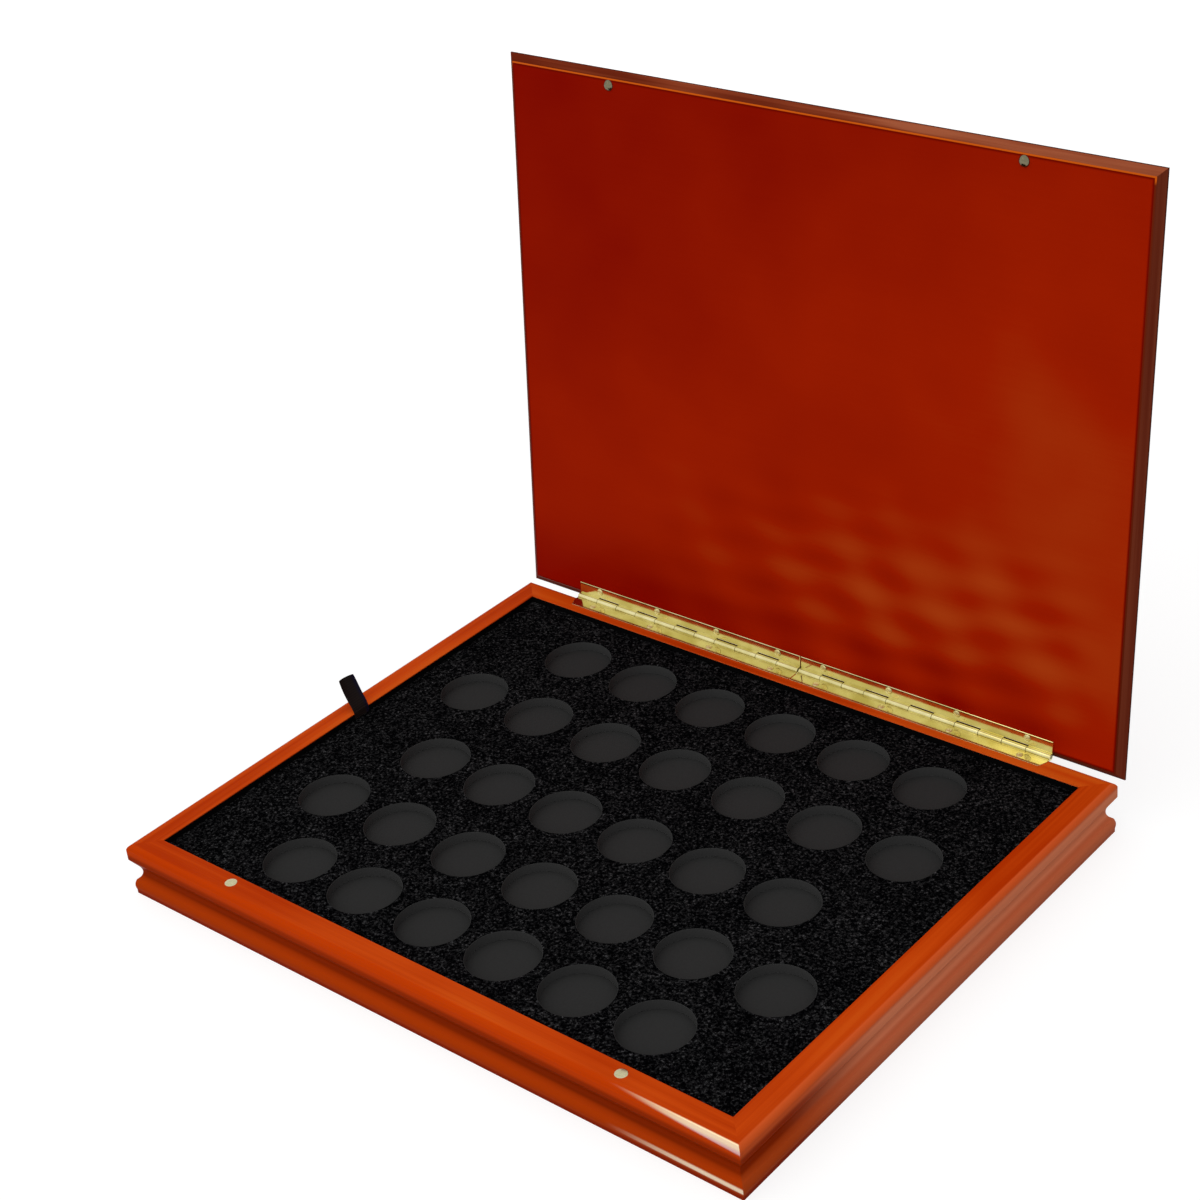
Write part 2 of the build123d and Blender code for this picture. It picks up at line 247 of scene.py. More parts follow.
def mouldedLacquer(name, look):
    # lacquered wood, with stain and painted shade in the hollow, painted shade and sheen on its sides, and a
    # glossier end on the front strip with a painted highlight
    finish = Finish(name)
    place = finish.grain((1, 1, 1))
    along, inset, height = (finish.axis(place, letter) for letter in "XYZ")

    def within(value, limits):
        return finish.spread(value, limits[0] * mm, limits[1] * mm)

    streaks = finish.noise(finish.grain(look["streaks"]), 1, 5, 0.6)
    clouds = finish.noise(finish.grain(look["clouds"]), 1, 2, 0.5)
    gain = look["cloudGain"]
    tone = streaks * 0.4 + clouds * 0.6 + finish.spread(along, -0.18, 0.18, -gain / 2, gain / 2)
    colour = finish.ramp(tone, [
        (0.38, look["dark"]),
        (0.5, look["middle"]),
        (0.62, look["light"]),
    ])
    # side colour: painted shade on the front rail, painted light on the other rails
    side = finish.mix(finish.spread(along, 0.4, 0.6), *look["side"])
    colour = finish.mix(within(height, look["sideTop"]) * look["sideShare"], colour, side)
    band = within(height, look["bandTop"]) * finish.spread(along, 0.6, 0.4)
    colour = finish.mix(band, colour, look["band"])
    # stain and painted shade in the hollow
    clearing = finish.spread(streaks, 0.36, 0.64) * 0.5 + within(height, look["stainClear"]) * 0.5
    stain = finish.mix(clearing, *look["stain"])
    stainedAndShaded = within(height, look["stainTop"]) * within(height, look["stainFoot"])
    colour = finish.mix(stainedAndShaded, colour, stain)
    # painted shade on the bead and the foot
    bead = within(height, look["beadTop"])
    colour = finish.mix(bead * look["beadShare"], colour, look["bead"])
    colour = finish.mix(within(height, look["footTop"]), colour, look["foot"])
    # painted sheen on the sides past the front corner; on the lid moulding, painted shade on its side strips
    faded = (finish.spread(along, *look["fadedAlong"]) * within(height, look["fadedTop"])
             * (1 - bead * 0.5) * finish.spread(streaks, 0.2, 0.8, 1, 0.75))
    colour = finish.mix(faded, colour, look["faded"])
    # painted shade on the left rail's outer side, in the hollow's colour
    farSide = finish.spread(along, *look["farSide"]) * within(height, look["sideTop"])
    colour = finish.mix(farSide, colour, stain)
    start, end = look["corner"]
    full, slope = look["taper"]
    lipHigh, lipLow = look["lip"]
    # shine: mask of the glossier coat, which also lays the painted highlight below
    shine = within(height, look["shineTop"]) * within(height + (along - full) * slope,
                                                      look["shineFoot"])
    shine = shine + within(height, lipHigh) * within(height, lipLow)
    shine = shine * finish.spread(along, *start) * finish.spread(along, *end, 1, 0)
    shine = shine * within(inset, look["shineInset"])
    least, most = look["coat"]
    # painted highlight: a cream colour mixed in under the shine
    paler, gloss = look["gloss"]
    paler = (within(height, look["glossFoot"]) + within(height, look["glossLip"])) * paler
    colour = finish.mix(shine * paler, colour, gloss)
    soft = look["roughness"]
    return finish.surface({
        "Base Color": colour,
        "Roughness": finish.spread(streaks, 0.35, 0.65, soft[0], soft[1]),
        "Specular IOR Level": look["specular"],
        "Specular Tint": look["tint"],
        "Coat Weight": shine * (most - least) + least,
        "Coat IOR": look["coatIor"],
        "Coat Roughness": look["coatRoughness"],
        "Normal": finish.bump(streaks, 0.00002, 0.05),
    })


innerVeneer = {
    "deep": paint(138, 9, 0),
    "middle": paint(172, 33, 1),
    "warm": paint(192, 74, 22),
    "pooled": paint(118, 9, 0),
    "edge": (paint(106, 34, 14), paint(204, 90, 16)),   # cut edge painted dark as shaded, and paler where it faces up, painted as lit
    "start": 0.02,
    "acrossGain": 0.36,          # warmer to the right: the veneer's tone and partly painted light
    "downGain": 0.42,            # and toward the hinge, also partly painted light,
    "footLoss": 0.45,            # but deeper again beside it
    "cloud": 0.55,
    # painted blurred reflection of the tray, low on the right
    "quilt": 0.42,
    "topEdge": (-0.137, -0.1395),    # metres down, where the cut edge faces up and is painted as lit
    "roughness": (0.2, 0.3),
    "specular": 0.01,
    "tint": (1, 0.2, 0.02, 1),
    "coat": 0.004,
    "coatRoughness": 0.12,
}
outerVeneer = innerVeneer | {"quilt": 0.0, "specular": 0.3, "coat": 0.25}


def redVeneer(name, look):
    # deep red face with soft warmer clouds and a painted reflection of the tray low on the right; its cut edge is
    # paler, painted dark as shaded and brighter where it faces up, as lit
    finish = Finish(name)
    across = finish.axis(finish.grain((1, 1, 1)), "X")
    down = finish.axis(finish.grain((1, 1, 1)), "Y")
    depth = finish.axis(finish.grain((1, 1, 1)), "Z")
    clouds = finish.noise(finish.grain((11, 11, 11)), 1, 2.5, 0.5)
    fibre = finish.noise(finish.grain((14, 700, 700)), 1, 3, 0.6)
    # painted reflection of the tray: soft bands low on the right
    quilt = (finish.bands(finish.grain((1, 1, 1), 3), "Y", 15.5, 2.4) * 0.5
             + finish.bands(finish.grain((1, 1, 1), 34), "X", 8.2, 2.4) * 0.5)
    reflectionArea = (finish.spread(down, 0.02, 0.09) * finish.spread(across, -0.14, 0.04)
               * finish.spread(across, 0.14, 0.178, 1, 0))
    # across and down: the veneer's own tone and partly painted light
    tone = (look["start"]
            + finish.spread(across, -0.25, 0.25) * look["acrossGain"]
            + finish.spread(down, -0.2, 0.2) * look["downGain"]
            - finish.spread(down, 0.09, 0.15) * look["footLoss"]
            + (clouds - 0.5) * look["cloud"]
            + (fibre - 0.5) * 0.08
            + (quilt - 0.5) * reflectionArea * look["quilt"])
    face = finish.ramp(tone, [
        (0, look["deep"]),
        (0.5, look["middle"]),
        (1, look["warm"]),
    ])
    arris = finish.add("ShaderNodeAttribute", {"attribute_name": "arris"}, {}, "Fac")
    face = finish.mix(finish.spread(arris, 0.2, 1), face, look["pooled"])
    # cut edge: painted dark as shaded, and brighter where it faces up, as lit
    edge = finish.mix(finish.spread(down, *look["topEdge"]), *look["edge"])
    soft = look["roughness"]
    return finish.surface({
        "Base Color": finish.mix(finish.spread(depth, 0.04 * mm, 0.16 * mm), face, edge),
        "Roughness": finish.spread(clouds, 0.3, 0.7, soft[0], soft[1]),
        "Specular IOR Level": look["specular"],
        "Specular Tint": look["tint"],
        "Coat Weight": look["coat"],
        "Coat Roughness": look["coatRoughness"],
        "Normal": finish.bump(clouds, 0.0002, 0.1),
    })


flock = {
    "ground": paint(2, 2, 3),
    "fleck": paint(30, 30, 31),
    "spark": paint(84, 84, 86),
}


def blackFlock(name, look):
    finish = Finish(name)
    specks = finish.noise(finish.space(), 760, 3, 0.75)
    patches = finish.noise(finish.space(), 60, 2, 0.5)
    colour = finish.ramp(specks + (patches - 0.5) * 0.08, [
        (0.47, look["ground"]),
        (0.6, look["fleck"]),
        (0.76, look["spark"]),
    ])
    return finish.surface({
        "Base Color": colour,
        "Roughness": 1,
        "Specular IOR Level": 0,
        "Normal": finish.bump(specks, 0.0006, 0.6),
    })


def charcoalBoard(name, tone):
    finish = Finish(name)
    fuzz = finish.noise(finish.space(), 1500, 2, 0.6)
    return finish.surface({
        "Base Color": finish.mix(fuzz, paint(tone - 4, tone - 4, tone - 4),
                                 paint(tone + 4, tone + 4, tone + 4)),
        "Roughness": 1,
        "Specular IOR Level": 0,
        "Normal": finish.bump(fuzz, 0.0001, 0.15),
    })


def blackVelour(name):
    finish = Finish(name)
    fuzz = finish.noise(finish.space(), 1800, 2, 0.6)
    return finish.surface({
        "Base Color": finish.mix(fuzz, paint(3, 3, 4), paint(14, 14, 15)),
        "Roughness": 1,
        "Specular IOR Level": 0,
        "Normal": finish.bump(fuzz, 0.0001, 0.3),
    })


def blackRibbon(name):
    # fine ribs across the ribbon, with a painted blue sheen toward one edge
    finish = Finish(name)
    place = finish.grain((1, 1, 1))
    ribs = finish.bands(place, "Z", 260, 0.4)
    fuzz = finish.noise(finish.grain((900, 900, 900)), 1, 2, 0.6)
    thread = finish.mix(ribs * 0.5 + fuzz * 0.5, paint(9, 5, 5), paint(32, 22, 20))
    # painted sheen: bluer toward one edge
    edge = finish.spread(finish.axis(place, "X"), 2.2 * mm, 4.4 * mm)
    return finish.surface({
        "Base Color": finish.mix(edge, thread, paint(14, 10, 34)),
        "Roughness": 0.7,
        "Specular IOR Level": 0.12,
        "Normal": finish.bump(ribs, 0.00005, 0.5),
    })


brass = {
    "bright": paint(228, 219, 164),
    "dull": paint(212, 201, 138),
    "roughness": (0.07, 0.14),
}


# paler than the leaves, a painted highlight on the heads, and rougher to spread the lamp's light
screwBrass = {
    "bright": paint(246, 234, 176),
    "dull": paint(232, 216, 150),
    "roughness": (0.38, 0.48),
}


def polishedBrass(name, look):
    finish = Finish(name)
    lines = finish.noise(finish.space((40, 1800, 1800)), 1, 2, 0.5)
    patches = finish.noise(finish.space(), 90, 2, 0.5)
    soft = look["roughness"]
    return finish.surface({
        "Base Color": finish.mix(finish.spread(patches, 0.35, 0.65), look["dull"], look["bright"]),
        "Metallic": 1,
        "Roughness": finish.spread(lines * 0.5 + patches * 0.5, 0.35, 0.65, soft[0], soft[1]),
        "Normal": finish.bump(patches, 0.00008, 0.12),
    })


def plainMetal(name, dull, bright, soft):
    finish = Finish(name)
    patches = finish.noise(finish.space(), 700, 3, 0.6)
    return finish.surface({
        "Base Color": finish.mix(patches, dull, bright),
        "Metallic": 1,
        "Roughness": finish.spread(patches, 0.3, 0.7, soft[0], soft[1]),
    })


def bareWood(name):
    finish = Finish(name)
    rings = finish.noise(finish.space((12, 260, 260)), 1, 5, 0.6)
    return finish.surface({
        "Base Color": finish.mix(rings, paint(150, 108, 66), paint(205, 166, 116)),
        "Roughness": 0.75,
        "Normal": finish.bump(rings, 0.0001, 0.3),
    })


railFinish = mouldedLacquer("cherryLacquer", cherry)
edgingFinish = mouldedLacquer("edgingLacquer", edging)
innerFinish = redVeneer("innerVeneer", innerVeneer)
outerFinish = redVeneer("outerVeneer", outerVeneer)
flockFinish = blackFlock("blackFlock", flock)
floorFinish = charcoalBoard("charcoalFloor", 47)
# the wall's charcoal is painted paler than the floor's, to cancel its shade
paintedLightWallFinish = charcoalBoard("charcoalWall", 59)
velourFinish = blackVelour("blackVelour")
ribbonFinish = blackRibbon("blackRibbon")
brassFinish = polishedBrass("polishedBrass", brass)
screwFinish = polishedBrass("screwBrass", screwBrass)
nickelFinish = plainMetal("polishedNickel", paint(168, 164, 126), paint(216, 208, 170),
                          (0.14, 0.26))
steelFinish = plainMetal("drawnSteel", paint(92, 88, 70), paint(138, 132, 106), (0.16, 0.28))
woodFinish = bareWood("bareWood")
print("finishes made")


# places on the case, in metres
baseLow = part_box("rail_left")[0]
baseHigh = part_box("rail_right")[1]
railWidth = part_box("rail_front")[1].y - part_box("rail_front")[0].y
railTop = baseHigh.z
trayLow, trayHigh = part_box("tray_board")
lidJoint = frame["joints"][0]
hingeAxis = Vector(lidJoint["pos_m"])
openAngle = radians(lidJoint["range_deg"][1])
openLid = (Matrix.Translation(hingeAxis) @ Matrix.Rotation(-openAngle, 4, "X")
           @ Matrix.Translation(-hingeAxis))


def closedBox(*names):
    # lowest and highest corner of lid nodes with the lid laid shut
    points = [openLid.inverted() @ vertex.co for name in names
              for vertex in nodes[name].data.vertices]
    return (Vector(min(point[axis] for point in points) for axis in range(3)),
            Vector(max(point[axis] for point in points) for axis in range(3)))


lidLow, lidHigh = closedBox("lid_edge_front", "lid_edge_rear", "lid_edge_left", "lid_edge_right")
lidFace = closedBox("lid_inner_veneer")[0].z
lidBack = closedBox("lid_outer_veneer")[1].z


def addPiece(name, mesh, finish, body, replaced=(), place=None, sharp=60):
    if place is not None:
        mesh.transform(place)
    mesh.materials.append(finish)
    mesh.polygons.foreach_set("use_smooth", [True] * len(mesh.polygons))
    mesh.set_sharp_from_angle(angle=radians(sharp))
    piece = bpy.data.objects.new(name, mesh)
    bpy.context.scene.collection.objects.link(piece)
    weighted = piece.modifiers.new("evenNormals", "WEIGHTED_NORMAL")
    weighted.keep_sharp = True
    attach(piece, body)
    if replaced:
        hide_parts(*replaced)
    return piece


def finished(bm, name):
    bmesh.ops.recalc_face_normals(bm, faces=bm.faces)
    mesh = bpy.data.meshes.new(name)
    bm.to_mesh(mesh)
    bm.free()
    return mesh


def arcThrough(first, middle, last, steps, ends=(0, 0)):
    # points on the circle through three points; ends says how far to round each end
    ax, ay = first
    bx, by = middle
    cx, cy = last
    twice = 2 * (ax * (by - cy) + bx * (cy - ay) + cx * (ay - by))
    a, b, c = ax * ax + ay * ay, bx * bx + by * by, cx * cx + cy * cy
    x = (a * (by - cy) + b * (cy - ay) + c * (ay - by)) / twice
    y = (a * (cx - bx) + b * (ax - cx) + c * (bx - ax)) / twice
    radius = sqrt((ax - x) ** 2 + (ay - y) ** 2)
    start = atan2(ay - y, ax - x)
    sign = 1 if (bx - ax) * (cy - ay) - (by - ay) * (cx - ax) > 0 else -1
    turn = (sign * (atan2(cy - y, cx - x) - start)) % (2 * pi)
    points = []
    for step in range(steps + 1):
        angle = start + sign * turn * step / steps
        points.append((x + radius * cos(angle), y + radius * sin(angle), 0))
    points[0] = (*points[0][:2], ends[0])
    points[-1] = (*points[-1][:2], ends[1])
    return points


def rounded(corners, steps=4):
    # an outline in metres from (x, y, radius) points in millimetres
    outline = []
    for index, (x, y, radius) in enumerate(corners):
        here = Vector((x, y))
        if radius == 0:
            outline.append(here * mm)
            continue
        before = (Vector(corners[index - 1][:2]) - here).normalized()
        after = (Vector(corners[(index + 1) % len(corners)][:2]) - here).normalized()
        half = before.angle(after) / 2
        centre = here + (before + after).normalized() * (radius / sin(half))
        start = here + before * (radius / tan(half)) - centre
        end = here + after * (radius / tan(half)) - centre
        first = atan2(start.y, start.x)
        turn = (atan2(end.y, end.x) - first + pi) % (2 * pi) - pi
        for step in range(steps + 1):
            angle = first + turn * step / steps
            outline.append((centre + Vector((cos(angle), sin(angle))) * radius) * mm)
    return outline


def mitredStrip(name, outline, low, high, side, sections=30):
    # strip along one side of a rectangle, from an outline of inset and height
    ends = {
        "front": ((low.x, low.y, 1, 1), (high.x, low.y, -1, 1)),
        "right": ((high.x, low.y, -1, 1), (high.x, high.y, -1, -1)),
        "rear": ((high.x, high.y, -1, -1), (low.x, high.y, 1, -1)),
        "left": ((low.x, high.y, 1, -1), (low.x, low.y, 1, 1)),
    }
    order = list(ends).index(side)
    (ax, ay, ainX, ainY), (bx, by, binX, binY) = ends[side]
    middle = Vector((ax + bx, ay + by)) / 2
    forward = Vector((bx - ax, by - ay)).normalized()
    bm = bmesh.new()
    grain = bm.verts.layers.float_vector.new("grain")
    rings = []
    for section in range(sections + 1):
        ring = []
        for inset, height in outline:
            start = Vector((ax + ainX * inset, ay + ainY * inset))
            end = Vector((bx + binX * inset, by + binY * inset))
            spot = start.lerp(end, section / sections)
            vertex = bm.verts.new((spot.x, spot.y, height))
            vertex[grain] = ((spot - middle).dot(forward) + order, inset, height)
            ring.append(vertex)
        rings.append(ring)
    for one, other in zip(rings, rings[1:]):
        for index in range(len(outline)):
            bm.faces.new((one[index - 1], one[index], other[index], other[index - 1]))
    bm.faces.new(rings[0])
    bm.faces.new(rings[-1])
    return finished(bm, name)


def rimmedPanel(name, low, high, profile):
    # flat panel whose edge follows a profile of inset, height and arris, from face to back
    bm = bmesh.new()
    grain = bm.verts.layers.float_vector.new("grain")
    arris = bm.verts.layers.float.new("arris")
    rings = []
    for inset, height, nearArris in profile:
        ring = []
        for x, y in ((low.x + inset, low.y + inset), (high.x - inset, low.y + inset),
                     (high.x - inset, high.y - inset), (low.x + inset, high.y - inset)):
            vertex = bm.verts.new((x, y, height))
            vertex[grain] = (x, y, abs(height - profile[0][1]))
            vertex[arris] = nearArris
            ring.append(vertex)
        rings.append(ring)
    for one, other in zip(rings, rings[1:]):
        for index in range(4):
            bm.faces.new((one[index - 1], one[index], other[index], other[index - 1]))
    bm.faces.new(rings[0])
    bm.faces.new(rings[-1])
    return finished(bm, name)


rail = {
    "topRound": (3.6, 2.8),      # width and drop
    "bandDrop": 8.6,
    "slope": (3.1, 13.2),        # inset and drop of its lower end
    "coveRadius": 5.0,
    "coveSweep": 62.0,           # degrees below the deepest line
    "bead": (0.4, 23.4),
    "beadFoot": (0.7, 26.2),
    "rebate": (9.0, 5.0),        # inset and height
    "arris": 0.35,
    "slopeArris": 0.8,
    "beadArris": 0.5,
}


def railOutline(look):
    top = railTop / mm
    width = railWidth / mm
    across, drop = look["topRound"]
    swell = (across ** 2 + drop ** 2) / (2 * drop)
    lean = (pi / 2 + atan2(swell - drop, -across)) / 2
    topMiddle = (across + swell * cos(lean), top - swell + swell * sin(lean))
    inset, slopeDrop = look["slope"]
    tilt = atan(inset / (slopeDrop - look["bandDrop"]))
    radius = look["coveRadius"]
    coveX = inset - radius * cos(tilt)
    coveZ = top - slopeDrop - radius * sin(tilt)
    sweep = radians(look["coveSweep"])
    coveLow = (coveX + radius * cos(sweep), coveZ - radius * sin(sweep))
    beadFoot = (look["beadFoot"][0], top - look["beadFoot"][1])
    arris = look["arris"]
    corners = [(width, look["rebate"][1], 0), (width, top, arris)]
    corners += arcThrough((across, top), topMiddle, (0, top - drop), 10, (0, arris))
    corners.append((0, top - look["bandDrop"], look["slopeArris"]))
    corners += arcThrough((inset, top - slopeDrop), (coveX + radius, coveZ), coveLow, 12)[:-1]
    corners.append((*coveLow, look["beadArris"]))
    corners += arcThrough(coveLow, (look["bead"][0], top - look["bead"][1]), beadFoot, 6)[1:]
    corners += [(beadFoot[0], 0, arris), (look["rebate"][0], 0, 0)]
    corners.append((look["rebate"][0], look["rebate"][1], 0))
    return rounded(corners)


railShape = railOutline(rail)
for side in ("front", "rear", "left", "right"):
    mesh = mitredStrip(f"moulded_rail_{side}", railShape, baseLow, baseHigh, side)
    addPiece(f"moulded_rail_{side}", mesh, railFinish, "base",
             (f"rail_{side}",))
print("rails made")


lining = {"thickness": 0.2, "above": 0.5, "below": 3.0}    # above: short of the rail's top


def liningOutline(look):
    # black strip on the inner wall, from just under the rail's top to below the tray's face
    width = railWidth / mm
    top = railTop / mm - look["above"]
    low = trayHigh.z / mm - look["below"]
    return rounded([(width, low, 0), (width + look["thickness"], low, 0),
                    (width + look["thickness"], top, 0.08), (width, top, 0.08)])


for side in ("front", "rear", "left", "right"):
    mesh = mitredStrip(f"wall_lining_{side}", liningOutline(lining), baseLow, baseHigh, side, 4)
    addPiece(f"wall_lining_{side}", mesh, velourFinish, "base")


def insetCorners(corners, distance):
    # a convex outline moved inwards
    moved = []
    for index, here in enumerate(corners):
        before = (here - corners[index - 1]).normalized()
        after = (corners[(index + 1) % len(corners)] - here).normalized()
        inward = Vector((-before.y - after.y, before.x + after.x))
        turn = before.dot(after)
        moved.append(here + inward * distance / (1 + turn))
    return moved


def holedPlate(name, corners, holes, back, face, edge, steps=4, around=80):
    # plate with round holes; the edges of its face are rolled over by an arc.
    # corners run anticlockwise, and a hole is (x, y, radius), all in metres.
    outward = 1 if face > back else -1
    flatShare = cos(pi / around)     # middle of a hole's side, as a share of its radius
    levels = []
    for step in range(steps + 1):
        lean = pi / 2 * step / steps
        levels.append((edge * (1 - sin(lean)), face - outward * edge * (1 - cos(lean))))
    levels.append((0, back))
    bm = bmesh.new()
    rings = []
    for shrink, height in levels:
        loops = [insetCorners(corners, shrink)]
        for x, y, radius in holes:
            loops.append([Vector((x + (radius + shrink) * cos(2 * pi * turn / around),
                                  y + (radius + shrink) * sin(2 * pi * turn / around)))
                          for turn in range(around)])
        rings.append([[bm.verts.new((point.x, point.y, height)) for point in loop]
                      for loop in loops])
    for one, other in zip(rings, rings[1:]):
        for oneLoop, otherLoop in zip(one, other):
            for index in range(len(oneLoop)):
                bm.faces.new((oneLoop[index - 1], oneLoop[index],
                              otherLoop[index], otherLoop[index - 1]))
    for ring, shrink in ((rings[0], edge), (rings[-1], 0)):
        vertices = [vertex for loop in ring for vertex in loop]
        edges = []
        for loop in ring:
            first = vertices.index(loop[0])
            edges += [(first + index, first + (index + 1) % len(loop))
                      for index in range(len(loop))]
        flat = [vertex.co.xy for vertex in vertices]
        made = delaunay_2d_cdt(flat, edges, [], 0, 1e-9)
        for triangle in made[2]:
            known = [made[3][index][0] for index in triangle]
            centre = sum((flat[index] for index in known), Vector((0, 0))) / len(known)
            if all((centre - Vector((x, y))).length > (radius + shrink) * flatShare
                   for x, y, radius in holes):
                bm.faces.new([vertices[index] for index in known])
    return finished(bm, name)


def turned(bm, outline, place, around=64):
    # a solid of revolution about Z, from (radius, height) points in metres
    rings = []
    for radius, height in outline:
        if radius < 1e-7:
            rings.append([bm.verts.new(place @ Vector((0, 0, height)))])
            continue
        rings.append([bm.verts.new(place @ Vector((radius * cos(2 * pi * turn / around),
                                                   radius * sin(2 * pi * turn / around), height)))
                      for turn in range(around)])
    pairs = list(zip(rings, rings[1:]))
    if len(rings[0]) > 1 and len(rings[-1]) > 1:
        pairs.append((rings[-1], rings[0]))
    for one, other in pairs:
        for index in range(around):
            corners = [one[index - 1 if len(one) > 1 else 0], one[index if len(one) > 1 else 0],
                       other[index if len(other) > 1 else 0],
                       other[index - 1 if len(other) > 1 else 0]]
            bm.faces.new(list(dict.fromkeys(corners)))


wells = [((low[0] + high[0]) / 2, (low[1] + high[1]) / 2)
         for low, high in (opening["box_m"] for opening in record["physics"]["openings"])]

tray = {
    "wellRadius": 17.5,
    "roll": 0.4,                 # flock rolled over the edges
    "cupWall": 0.2,
    "cupFloor": 0.3,
    "cupDrop": 0.45,             # lip of a lining below the flock
}


def trayBoard(look):
    corners = [Vector(point) for point in ((trayLow.x, trayLow.y), (trayHigh.x, trayLow.y),
                                           (trayHigh.x, trayHigh.y), (trayLow.x, trayHigh.y))]
    holes = [(x, y, look["wellRadius"] * mm) for x, y in wells]
    mesh = holedPlate("flocked_tray", corners, holes, trayLow.z, trayHigh.z, look["roll"] * mm)
    return addPiece("flocked_tray", mesh, flockFinish, "base", ("tray_board",))


def wellLinings(look):
    # charcoal disc on the floor of every well, and a lining round its wall, whose charcoal is painted paler to
    # cancel its shade
    radius = look["wellRadius"]
    inner = radius - look["cupWall"]
    bottom = trayLow.z / mm
    lip = trayHigh.z / mm - look["cupDrop"]
    floor = bottom + look["cupFloor"]
    disc = rounded([(0, bottom, 0), (inner, bottom, 0), (inner, floor, 0), (0, floor, 0)])
    wall = rounded([(inner, bottom, 0), (radius, bottom, 0), (radius, lip, 0.05),
                    (inner, lip, 0.05)])
    for name, section, finish in (("well_floors", disc, floorFinish),
                                  ("well_walls", wall, paintedLightWallFinish)):
        bm = bmesh.new()
        for x, y in wells:
            turned(bm, section, Matrix.Translation((x, y, 0)), 80)
        addPiece(name, finished(bm, name), finish, "base")


trayBoard(tray)
wellLinings(tray)
print("tray made with", len(wells), "wells")


lid = {
    "bevel": (4.3, 3.4),         # width and height
    "nose": 1.0,                 # upright edge above the bevel
    "noseStep": 0.8,
    "raised": 6.0,               # raised back, from the lid's edge
    "raisedStep": 0.4,
    "stripWidth": 10.0,
    "veneer": 0.6,
    "arris": 0.35,
    "backArris": 0.4,
    "band": 1.6,                 # lacquer pooled along the arris
}


def lidEdgeOutline(look):
    # heights are measured up from the inner face of the closed lid
    width, rise = look["bevel"]
    thickness = (lidBack - lidFace) / mm
    noseTop = rise + look["nose"]
    coveStart = noseTop + 0.75 * look["noseStep"]
    coveEnd = thickness - look["veneer"] - look["raisedStep"]
    reach = look["raised"] - look["noseStep"]
    hollow = (look["noseStep"] + reach * sin(radians(45)),
              coveEnd - (coveEnd - coveStart) * cos(radians(45)))
    arris = look["arris"]
    start = width * (1 - look["veneer"] / rise)
    corners = [(look["stripWidth"], look["veneer"], 0), (start, look["veneer"], 0),
               (0, rise, arris), (0, noseTop, arris)]
    corners += arcThrough((look["noseStep"], coveStart), hollow, (look["raised"], coveEnd), 12,
                          (0.2, 0))
    corners += [(look["raised"], thickness - look["veneer"], 0),
                (look["stripWidth"], thickness - look["veneer"], 0)]
    return [Vector((inset, height + lidFace)) for inset, height in rounded(corners)]


def panelProfile(inset, foot, depth, arris, band):
    # flat, a narrow band of pooled lacquer, the rounded arris, and down the cut edge
    section = rounded([(inset + 20, 0, 0), (inset + band, 0, 0), (inset, 0, arris),
                       (foot, depth, 0)])
    return [(point.x, point.y, 1 if 1 < index < len(section) - 1 else 0)
            for index, point in enumerate(section)]


def lidPanels(look):
    width, rise = look["bevel"]
    depth = look["veneer"]
    profile = panelProfile(width, width * (1 - depth / rise), depth, look["arris"], look["band"])
    profile = [(inset, lidFace + height, near) for inset, height, near in profile]
    face = rimmedPanel("inner_face", lidLow, lidHigh, profile)
    addPiece("inner_face", face, innerFinish, "lid", ("lid_inner_veneer",), openLid)
    profile = panelProfile(look["raised"], look["raised"], depth, look["backArris"], look["band"])
    profile = [(inset, lidBack - height, near) for inset, height, near in profile]
    back = rimmedPanel("outer_face", lidLow, lidHigh, profile)
    addPiece("outer_face", back, outerFinish, "lid", ("lid_outer_veneer",), openLid)


for side in ("front", "rear", "left", "right"):
    mesh = mitredStrip(f"lid_moulding_{side}", lidEdgeOutline(lid), lidLow, lidHigh, side)
    addPiece(f"lid_moulding_{side}", mesh, edgingFinish, "lid",
             (f"lid_edge_{side}",), openLid)
lidPanels(lid)
print("lid made")


hinge = {
    "barrel": 1.7,
    "bore": 0.85,
    "knuckles": 11,
    "gap": 0.2,                  # between knuckles
    "knuckleRound": 0.18,
    "reach": (9.0, 7.9),         # from the axis to the far edge of the lower and upper leaf
    "relief": 0.2,               # leaf clear of the other leaf's knuckles
    "thickness": 0.9,
    "proud": 0.3,                # lower leaf above the rail
    "clip": (2.0, 4.8),          # outer corner of the lower leaf
    "edge": (0.1, 0.22),         # softened edge of the lower and upper leaf,
    "edgeSteps": (3, 1),         # the lower rounded, the upper bevelled
    "screwAround": 48,
    "tabOverlap": 0.3,           # of a tab into its leaf
    "tabEdge": 0.12,
    "screwLine": 5.6,            # from the axis
    "screwEnd": 14.0,
    "screws": 4,
    "screwHole": 1.75,
}
lengths = {side: (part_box(f"hinge_{side}_base_leaf")[0].x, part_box(f"hinge_{side}_base_leaf")[1].x)
           for side in ("left", "right")}


def screwPlaces(low, high, look):
    pitch = (high - low - 2 * look["screwEnd"] * mm) / (look["screws"] - 1)
    return [low + look["screwEnd"] * mm + index * pitch for index in range(look["screws"])]


def softBox(bm, low, high, edge):
    made = bmesh.ops.create_cube(bm, size=1)["verts"]
    size = high - low
    for vertex in made:
        vertex.co = low + Vector((size[axis] * (vertex.co[axis] + 0.5) for axis in range(3)))
    edges = list({link for vertex in made for link in vertex.link_edges})
    bmesh.ops.bevel(bm, geom=edges, offset=edge, segments=2, profile=0.5, affect="EDGES")


